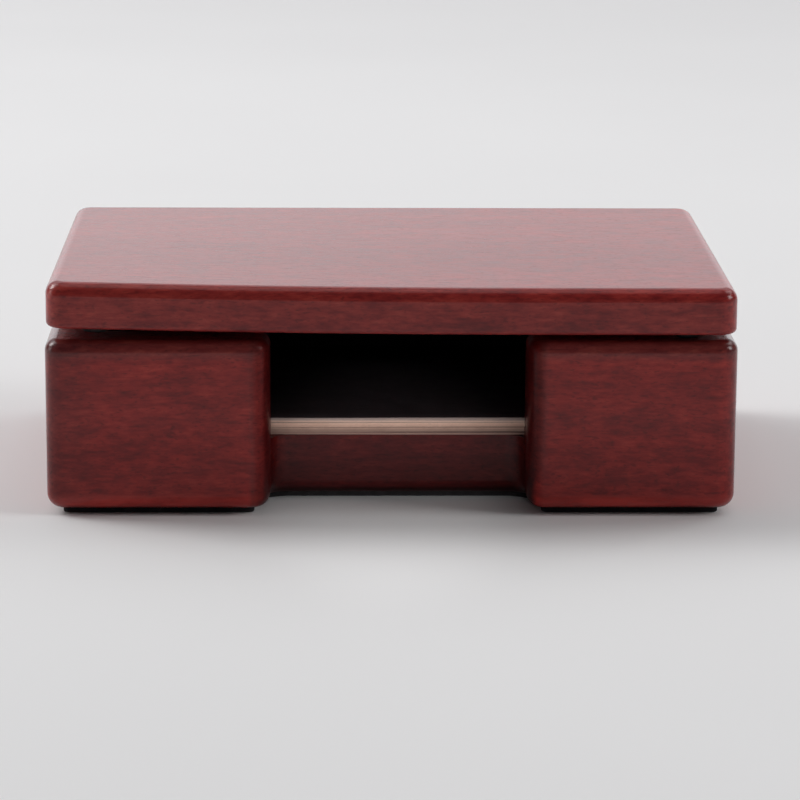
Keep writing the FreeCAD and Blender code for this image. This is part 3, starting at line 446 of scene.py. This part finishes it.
def pale_floor(name):
    s = Shader(name, {"Specular IOR Level": 0.10})
    p = s.mm()
    soft = s.noise(p, (0.004, 0.004, 0.004), 3.0, 0.5)
    s.feed("Base Color", s.tones(soft, [(0.3, (0.825, 0.822, 0.825)), (0.7, (0.855, 0.852, 0.855))]))
    s.feed("Roughness", s.band(soft, 0.3, 0.7, 0.80, 0.90))
    return s.material


# ------------------------------------------------------------- mesh building


def outline(corners, pitch):
    """A closed outline, counter-clockwise, from (x, y, fillet radius) corners,
    with arcs in steps of about 15 degrees and straights in steps of pitch."""
    arcs = []
    count = len(corners)
    for i, (x, y, r) in enumerate(corners):
        here = Vector((x, y))
        back = (Vector(corners[i - 1][:2]) - here).normalized()
        ahead = (Vector(corners[(i + 1) % count][:2]) - here).normalized()
        half = back.angle(ahead) / 2.0
        centre = here + (back + ahead).normalized() * (r / math.sin(half))
        reach = r / math.tan(half)
        a, b = here + back * reach - centre, here + ahead * reach - centre
        a0, a1 = math.atan2(a.y, a.x), math.atan2(b.y, b.x)
        turn = (a1 - a0 + math.pi) % (2.0 * math.pi) - math.pi
        steps = max(3, math.ceil(abs(turn) / math.radians(15.0)))
        arcs.append([(centre.x + r * math.cos(a0 + turn * k / steps),
                      centre.y + r * math.sin(a0 + turn * k / steps)) for k in range(steps + 1)])
    loop = []
    for i, arc in enumerate(arcs):
        loop.extend(arc)
        x0, y0 = arc[-1]
        x1, y1 = arcs[(i + 1) % count][0]
        pieces = max(1, round(math.hypot(x1 - x0, y1 - y0) / pitch))
        loop.extend((x0 + (x1 - x0) * k / pieces, y0 + (y1 - y0) * k / pieces) for k in range(1, pieces))
    return loop


def outward(loop):
    """Unit outward normals of a counter-clockwise loop's points."""
    found = []
    for i, (x, y) in enumerate(loop):
        ax, ay = loop[i - 1]
        bx, by = loop[(i + 1) % len(loop)]
        dx, dy = bx - ax, by - ay
        size = math.hypot(dx, dy) or 1.0
        found.append((dy / size, -dx / size))
    return found


def inside(x, y, loop):
    hit = False
    for i, (x1, y1) in enumerate(loop):
        x0, y0 = loop[i - 1]
        if (y0 > y) != (y1 > y) and x < (x1 - x0) * (y - y0) / (y1 - y0) + x0:
            hit = not hit
    return hit


def made(name, verts, faces, material, soft=True):
    """A mesh object from points in millimetres."""
    mesh = bpy.data.meshes.new(name)
    mesh.from_pydata([(x * MM, y * MM, z * MM) for x, y, z in verts], [], faces)
    mesh.validate()
    mesh.update()
    if soft:
        mesh.polygons.foreach_set("use_smooth", [True] * len(mesh.polygons))
    mesh.materials.append(material)
    piece = bpy.data.objects.new(name, mesh)
    bpy.context.scene.collection.objects.link(piece)
    return piece


def slab(name, loop, low, high, rim, pitch, material, lift=None, relief=0.0, under=0.0,
         cell=4.0, seed=0, arc_steps=3, turn=None):
    """A thin flat piece: a triangulated top and bottom with rounded rims.
    relief and under are how deep the top's and bottom's own hollows go, lift
    raises every point by a function of its place, turn places the whole."""
    lift = lift or (lambda x, y: 0.0)
    turn = turn or (lambda x, y: (x, y))
    dice = random.Random(seed)
    normals = outward(loop)
    n = len(loop)
    inner = [(x - nx * rim, y - ny * rim) for (x, y), (nx, ny) in zip(loop, normals)]
    xs, ys = [x for x, _ in inner], [y for _, y in inner]
    grid = []
    columns = max(1, round((max(xs) - min(xs)) / pitch))
    rows = max(1, round((max(ys) - min(ys)) / pitch))
    buckets = {}
    for x, y in inner:
        buckets.setdefault((math.floor(x / pitch), math.floor(y / pitch)), []).append((x, y))

    def near_rim(x, y):
        cx, cy = math.floor(x / pitch), math.floor(y / pitch)
        return any(
            math.hypot(x - a, y - b) < 0.62 * pitch
            for i in (-1, 0, 1) for j in (-1, 0, 1) for a, b in buckets.get((cx + i, cy + j), ())
        )

    for i in range(1, columns):
        for j in range(1, rows):
            x = min(xs) + (max(xs) - min(xs)) * i / columns + dice.uniform(-0.2, 0.2) * pitch
            y = min(ys) + (max(ys) - min(ys)) * j / rows + dice.uniform(-0.2, 0.2) * pitch
            if inside(x, y, inner) and not near_rim(x, y):
                grid.append((x, y))
    flat = [Vector(p) for p in inner + grid]
    points, _, triangles, origin, _, _ = delaunay_2d_cdt(
        flat, [(i, (i + 1) % n) for i in range(n)], [], 1, 1e-7)
    # the triangulation may order its points anew, so its own are named by ours
    mine = {}
    for index, sources in enumerate(origin):
        for source in sources:
            mine[source] = index
    back = {index: source for source, index in mine.items()}

    def hollow(x, y, depth, salt):
        if not depth:
            return 0.0
        broad = noise.noise(Vector((x / cell, y / cell, salt)))
        fine = noise.noise(Vector((x / (cell * 0.31), y / (cell * 0.31), salt + 9.0)))
        return -depth * min(1.0, max(0.0, 0.5 + 0.6 * broad + 0.35 * fine))

    verts, rings = [], []

    def point(x, y, z):
        x2, y2 = turn(x, y)
        verts.append((x2, y2, z + lift(x2, y2)))
        return len(verts) - 1

    for k in range(arc_steps + 1):
        a = math.pi / 2.0 * k / arc_steps
        rings.append([point(x - nx * rim * (1.0 - math.sin(a)), y - ny * rim * (1.0 - math.sin(a)),
                            high - rim * (1.0 - math.cos(a))) for (x, y), (nx, ny) in zip(loop, normals)])
    for k in range(arc_steps + 1):
        a = math.pi / 2.0 * k / arc_steps
        rings.append([point(x - nx * rim * (1.0 - math.cos(a)), y - ny * rim * (1.0 - math.cos(a)),
                            low + rim * (1.0 - math.sin(a))) for (x, y), (nx, ny) in zip(loop, normals)])
    top = {i: rings[0][i] for i in range(n)}
    bottom = {i: rings[-1][i] for i in range(n)}
    for i, (x, y) in enumerate(grid, start=n):
        top[i] = point(x, y, high + hollow(x, y, relief, seed + 0.5))
        bottom[i] = point(x, y, low - hollow(x, y, under, seed + 5.5))
    faces = []
    for tri in triangles:
        a, b, c = (back[v] for v in tri)
        faces.append((top[a], top[b], top[c]))
        faces.append((bottom[c], bottom[b], bottom[a]))
    for upper, lower in zip(rings, rings[1:]):
        for i in range(n):
            j = (i + 1) % n
            faces.append((upper[i], lower[i], lower[j], upper[j]))
    return made(name, verts, faces, material)


def open_path(corners, pitch):
    """An open line with filleted bends from (x, y, radius) points."""
    line = [corners[0][:2]]

    def straight_to(x1, y1):
        x0, y0 = line[-1]
        pieces = max(1, round(math.hypot(x1 - x0, y1 - y0) / pitch))
        line.extend((x0 + (x1 - x0) * k / pieces, y0 + (y1 - y0) * k / pieces) for k in range(1, pieces + 1))

    for i in range(1, len(corners) - 1):
        x, y, r = corners[i]
        here = Vector((x, y))
        back = (Vector(corners[i - 1][:2]) - here).normalized()
        ahead = (Vector(corners[i + 1][:2]) - here).normalized()
        half = back.angle(ahead) / 2.0
        centre = here + (back + ahead).normalized() * (r / math.sin(half))
        reach = r / math.tan(half)
        a, b = here + back * reach - centre, here + ahead * reach - centre
        a0, a1 = math.atan2(a.y, a.x), math.atan2(b.y, b.x)
        turn = (a1 - a0 + math.pi) % (2.0 * math.pi) - math.pi
        straight_to(centre.x + a.x, centre.y + a.y)
        steps = 8
        line.extend((centre.x + r * math.cos(a0 + turn * k / steps),
                     centre.y + r * math.sin(a0 + turn * k / steps)) for k in range(1, steps + 1))
    straight_to(*corners[-1][:2])
    return line


def strip(name, path, low, high, half, rim, pitch, material, relief=0.0, seed=0):
    """A band of cloth standing on edge along a path, its right side inwards."""
    arc = [(math.pi / 2.0 * k / 3, k) for k in range(4)]
    levels = []  # (distance from the middle of the thickness, height)
    for a, _ in arc:
        levels.append((half - rim * (1.0 - math.sin(a)), high - rim * (1.0 - math.cos(a))))
    pieces = max(2, round((high - low - 2.0 * rim) / pitch))
    for k in range(1, pieces):
        levels.append((half, high - rim - (high - low - 2.0 * rim) * k / pieces))
    for a, _ in arc:
        levels.append((half - rim * (1.0 - math.cos(a)), low + rim * (1.0 - math.sin(a))))
    count = len(levels)
    verts, faces = [], []
    travelled = 0.0
    for i, (x, y) in enumerate(path):
        ax, ay = path[max(i - 1, 0)]
        bx, by = path[min(i + 1, len(path) - 1)]
        size = math.hypot(bx - ax, by - ay)
        nx, ny = (by - ay) / size, -(bx - ax) / size
        if i:
            travelled += math.hypot(x - path[i - 1][0], y - path[i - 1][1])
        for d, z in levels:
            dent = 0.0
            if relief and low + 1.0 < z < high - 1.0:
                dent = relief * min(1.0, max(0.0, 0.5 + noise.noise(Vector((travelled / 4.5, z / 4.0, seed + 0.5)))
                                             + 0.4 * noise.noise(Vector((travelled / 1.3, z / 1.3, seed + 4.5)))))
            verts.append((x + nx * (d - dent), y + ny * (d - dent), z))
        for d, z in levels:
            verts.append((x - nx * d, y - ny * d, z))
    stride = 2 * count
    for i in range(len(path) - 1):
        a, b = i * stride, (i + 1) * stride
        for k in range(count - 1):
            faces.append((a + k, a + k + 1, b + k + 1, b + k))
            faces.append((b + count + k, b + count + k + 1, a + count + k + 1, a + count + k))
        faces.append((a, b, b + count, a + count))
        faces.append((a + count - 1, a + 2 * count - 1, b + 2 * count - 1, b + count - 1))
    end = (len(path) - 1) * stride
    for k in range(count - 1):
        faces.append((k, count + k, count + k + 1, k + 1))
        faces.append((end + k, end + k + 1, end + count + k + 1, end + count + k))
    return made(name, verts, faces, material)


def turned(name, centre, profile, material, top=None, segments=56):
    """A lathed piece from (radius, height) points, from its foot to its top.
    top gives the height of the underside that it is stuck to."""
    cx, cy = centre
    foot, head = profile[0][1], profile[-1][1]
    verts, faces, rings = [], [], []
    for r, h in profile:
        ring = []
        for i in range(segments):
            a = 2.0 * math.pi * i / segments
            x, y = cx + r * math.cos(a), cy + r * math.sin(a)
            z = h
            if top:
                share = (h - foot) / (head - foot)
                z += (top(x, y) - head) * share
            ring.append(len(verts))
            verts.append((x, y, z))
        rings.append(ring)
    for lower, upper in zip(rings, rings[1:]):
        for i in range(segments):
            j = (i + 1) % segments
            faces.append((lower[i], lower[j], upper[j], upper[i]))
    for ring, up in ((rings[0], False), (rings[-1], True)):
        hub = len(verts)
        verts.append((cx, cy, sum(verts[i][2] for i in ring) / segments))
        for i in range(segments):
            j = (i + 1) % segments
            faces.append((ring[i], ring[j], hub) if up else (ring[j], ring[i], hub))
    return made(name, verts, faces, material)


# ------------------------------------------------------------------ the wood

block_wood = wood("stained_wood_block", (0.0, 0.0, 0.0), (16.0, -58.0), 55.0, 38.0, 1.0, 28.55, 0.05, notched=True)
board_wood = wood("stained_wood_board", (143.0, 61.0, 205.0), (52.0, 178.0), 54.75, 38.0, 29.55, 36.95, 0.25)


def dress(name, material):
    piece = nodes[name]
    piece.data.materials.clear()
    piece.data.materials.append(material)


dress("base_block", block_wood)
dress("lid_board", board_wood)

# ------------------------------------------------------------ hinges, screws

brass_plate = brass("hinge_brass_worn")
for side in ("left", "right"):
    dress(f"hinge_{side}_base_leaf", brass_plate)
    dress(f"hinge_{side}_lid_leaf", brass_plate)
pin_wire = steel("pin_steel_drawn")
dress("hinge_left_pin", pin_wire)
dress("hinge_right_pin", pin_wire)
screw_plate = plated_screw("screw_plated")
dress("base_hinge_screws", screw_plate)
dress("lid_hinge_screws", screw_plate)

# --------------------------------------------------------------- felt pieces

black_felt = felt("lining_felt_black")
pad_felt = felt("foot_pad_felt", tint=(0.016, 0.0145, 0.0155), pile=0.8, sheen=0.15)

floor_cloth = slab(
    "well_floor_felt_cloth",
    outline([(-46.42, -26.08, 0.3), (46.42, -26.08, 0.3), (46.42, 28.22, 2.2), (-46.42, 28.22, 2.2)], 1.5),
    10.9 - 0.6, 10.9, 0.2, 1.5, black_felt, relief=0.045, seed=11)
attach(floor_cloth, "base")
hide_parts("well_floor_felt")

wall_path = open_path([(-19.8, -29.65), (-46.15, -29.65, 1.9), (-46.15, 27.95, 1.9),
                       (46.15, 27.95, 1.9), (46.15, -29.65, 1.9), (22.0, -29.65)], 1.5)
wall_cloth = strip("well_wall_felt_cloth", wall_path, 10.9, 28.25, 0.29, 0.16, 1.5, black_felt,
                   relief=0.05, seed=23)
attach(wall_cloth, "base")
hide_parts("well_wall_felt")

lining_cloth = slab(
    "lid_lining_felt_cloth",
    outline([(-45.47, -28.97, 2.0), (45.47, -28.97, 2.0), (45.47, 27.17, 2.0), (-45.47, 27.17, 2.0)], 1.5),
    28.95, 29.54, 0.2, 1.5, black_felt, lift=rise, under=0.045, seed=37)
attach(lining_cloth, "lid")
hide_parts("lid_lining_felt")

foot_cloth = slab(
    "base_pad_cloth",
    outline([(-52.47, -35.47, 0.9), (-21.93, -35.47, 0.9), (-21.93, -25.13, 5.5), (24.13, -25.13, 5.5),
             (24.13, -35.47, 0.9), (52.47, -35.47, 0.9), (52.47, 35.47, 0.9), (-52.47, 35.47, 0.9)], 1.8),
    0.0, 1.0, 0.3, 1.8, pad_felt, under=0.04, seed=53)
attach(foot_cloth, "base")
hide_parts("base_pad")

# ------------------------------------------------------------------- bumpers

soft_rubber = rubber("bumper_rubber_satin")
for side, cx, foot in (("left", -47.0, 29.41), ("right", 47.0, 28.60)):
    head = 29.55 + rise(cx, -33.6)
    tall = head - foot
    profile = [(0.45, foot + 0.035), (0.8, foot + 0.012), (1.25, foot), (1.62, foot + 0.02),
               (1.92, foot + 0.10 * tall), (2.14, foot + 0.24 * tall), (2.27, foot + 0.42 * tall),
               (2.34, foot + 0.62 * tall), (2.37, foot + 0.76 * tall), (2.44, foot + 0.82 * tall),
               (2.50, foot + 0.86 * tall), (2.50, foot + 0.97 * tall), (2.46, head - 0.01)]
    bumper = turned(f"lid_bumper_{side}_moulded", (cx, -33.6), profile, soft_rubber,
                    top=lambda x, y: 29.54 + rise(x, y))
    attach(bumper, "lid")
    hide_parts(f"lid_bumper_{side}")

# --------------------------------------------------------------------- cards

paper = card_paper("card_stock_cream")
ink = card_print("card_face_black")
lay = [(0.05, -0.02, -0.32), (-0.12, 0.10, 0.10), (0.10, 0.02, -0.06), (0.00, 0.14, 0.14),
       (-0.08, 0.00, 0.03), (0.15, 0.09, -0.12), (-0.03, 0.04, 0.08)]


def spring(x, y, card):
    """The pack lies a little dished, and springs off its lowest card."""
    dish = 0.10 * (x / 45.0) ** 2 + 0.03 * ((y + 0.6) / 27.0) ** 2
    if card:
        dish += 0.050 * smooth((x + 9.0) / 12.0) * smooth((34.0 - x) / 16.0) * smooth((8.0 - y) / 30.0)
    return dish


for number, (sx, sy, degrees) in enumerate(lay):
    c, s_ = math.cos(math.radians(degrees)), math.sin(math.radians(degrees))
    bottom = 10.92 + 0.395 * number
    card = slab(
        f"business_card_{number + 1}_sheet",
        outline([(-45.0, -27.0, 0.25), (45.0, -27.0, 0.25), (45.0, 27.0, 0.25), (-45.0, 27.0, 0.25)], 2.5),
        bottom, bottom + 0.385, 0.012, 3.0, paper, seed=71 + number, arc_steps=2,
        lift=lambda x, y, n=number: spring(x, y, n),
        turn=lambda x, y, c=c, s_=s_, sx=sx, sy=sy: (c * x - s_ * y + sx, s_ * x + c * y - 0.6 + sy))
    card.data.materials.append(ink)
    for face in card.data.polygons:
        if face.normal.z > 0.9:
            face.material_index = 1
    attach(card, "cards")
    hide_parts(f"business_card_{number + 1}")

# ------------------------------------------------------------ floor and light


def stage_sheet(name, corners, faces, material):
    mesh = bpy.data.meshes.new(name)
    mesh.from_pydata(corners, [], faces)
    mesh.materials.append(material)
    piece = bpy.data.objects.new(name, mesh)
    bpy.context.scene.collection.objects.link(piece)
    return piece


ground = stage_sheet("stage_floor", [(-7, -7, 0), (7, -7, 0), (7, 7, 0), (-7, 7, 0)], [(0, 1, 2, 3)],
                     pale_floor("stage_floor_pale"))

# a lit paper roll behind, bright at its foot and fading upwards
glow = bpy.data.materials.new("stage_backdrop_glow")
glow.use_nodes = True
tree = glow.node_tree
tree.nodes.clear()
place = tree.nodes.new("ShaderNodeTexCoord")
parts = tree.nodes.new("ShaderNodeSeparateXYZ")
fade = tree.nodes.new("ShaderNodeValToRGB")
scaled = tree.nodes.new("ShaderNodeMath")
scaled.operation = "MULTIPLY"
scaled.inputs[1].default_value = 0.4
shine = tree.nodes.new("ShaderNodeEmission")
result = tree.nodes.new("ShaderNodeOutputMaterial")
tree.links.new(place.outputs["Object"], parts.inputs[0])
tree.links.new(parts.outputs["Z"], scaled.inputs[0])
tree.links.new(scaled.outputs[0], fade.inputs[0])
tree.links.new(fade.outputs[0], shine.inputs[0])
shine.inputs[1].default_value = 1.14
tree.links.new(shine.outputs[0], result.inputs[0])
stops = fade.color_ramp.elements
while len(stops) < 6:
    stops.new(0.5)
for element, (where, level) in zip(stops, [(0.0, 0.94), (0.18, 0.90), (0.26, 0.28), (0.37, 0.30), (0.46, 1.00), (1.0, 0.40)]):
    element.position = where
    element.color = (0.995 * level, 0.985 * level, 1.015 * level, 1.0)
wall = []
turns = 24
for k in range(turns + 1):
    a = math.radians(-50.0 + 100.0 * k / turns)
    wall.append((1.9 * math.sin(a), 1.9 * math.cos(a), 0.0))
    wall.append((1.9 * math.sin(a), 1.9 * math.cos(a), 2.5))
backdrop = stage_sheet("stage_backdrop", wall,
                       [(2 * k, 2 * k + 1, 2 * k + 3, 2 * k + 2) for k in range(turns)], glow)

world = bpy.data.worlds.new("studio_dim")
bpy.context.scene.world = world
world.use_nodes = True
world.node_tree.nodes["Background"].inputs[0].default_value = (0.070, 0.069, 0.071, 1.0)
world.node_tree.nodes["Background"].inputs[1].default_value = 1.0


def softbox(name, azimuth, elevation, away, size, radiance, target=(0.0, 0.0, 0.02)):
    """A square area light that faces the object; azimuth is measured from +Y
    towards +X, in degrees, and radiance is what a mirror would see in it."""
    a, e = math.radians(azimuth), math.radians(elevation)
    direction = Vector((math.sin(a) * math.cos(e), math.cos(a) * math.cos(e), math.sin(e)))
    lamp = bpy.data.lights.new(name, "AREA")
    lamp.shape = "RECTANGLE"
    lamp.size, lamp.size_y = size
    lamp.energy = radiance * math.pi * size[0] * size[1]
    piece = bpy.data.objects.new(name, lamp)
    piece.location = Vector(target) + direction * away
    piece.rotation_euler = direction.to_track_quat("Z", "Y").to_euler()
    bpy.context.scene.collection.objects.link(piece)
    return piece


softbox("key_right", 103.0, 26.0, 1.30, (0.50, 0.50), 7.0)
softbox("back_right", 62.0, 46.0, 1.30, (0.65, 0.65), 2.1)
softbox("key_left", -72.0, 35.0, 1.30, (0.50, 0.50), 7.6)
softbox("back_left", -60.0, 46.0, 1.30, (0.65, 0.65), 2.6)
softbox("low_left", -88.0, 11.0, 1.30, (0.50, 0.50), 2.3)
softbox("overhead", 0.0, 82.0, 1.30, (0.65, 0.95), 0.85)

# a soft narrow fill into the finger notch
fill = bpy.data.lights.new("notch_fill", "SPOT")
fill.energy = 14.5
fill.spot_size, fill.spot_blend, fill.shadow_soft_size = math.radians(2.7), 1.0, 0.004
fill_lamp = bpy.data.objects.new("notch_fill", fill)
fill_way = Vector((0.0, -math.cos(math.radians(18.0)), math.sin(math.radians(18.0))))
fill_lamp.location = Vector((-0.0010, -0.030, 0.0030)) + fill_way * 1.1
fill_lamp.rotation_euler = fill_way.to_track_quat("Z", "Y").to_euler()
bpy.context.scene.collection.objects.link(fill_lamp)

# -------------------------------------------------------------------- camera

pitch, yaw, roll = 0.23001, 0.0238, 0.00582
ahead = Vector((math.sin(yaw) * math.cos(pitch), math.cos(yaw) * math.cos(pitch), -math.sin(pitch)))
right = Vector((math.cos(yaw), -math.sin(yaw), 0.0))
up = right.cross(ahead)
right, up = math.cos(roll) * right + math.sin(roll) * up, -math.sin(roll) * right + math.cos(roll) * up
lens = bpy.data.cameras.new("photo_camera")
lens.sensor_width = 36.0
lens.lens = 158.361
lens.clip_start, lens.clip_end = 0.01, 60.0
camera = bpy.data.objects.new("photo_camera", lens)
bpy.context.scene.collection.objects.link(camera)
turned_to = Matrix((right, up, -ahead)).transposed().to_4x4()
turned_to.translation = (-0.01166792, -0.5805705, 0.14622098)
camera.matrix_world = turned_to
bpy.context.scene.camera = camera
bpy.context.scene.view_settings.view_transform = "Standard"
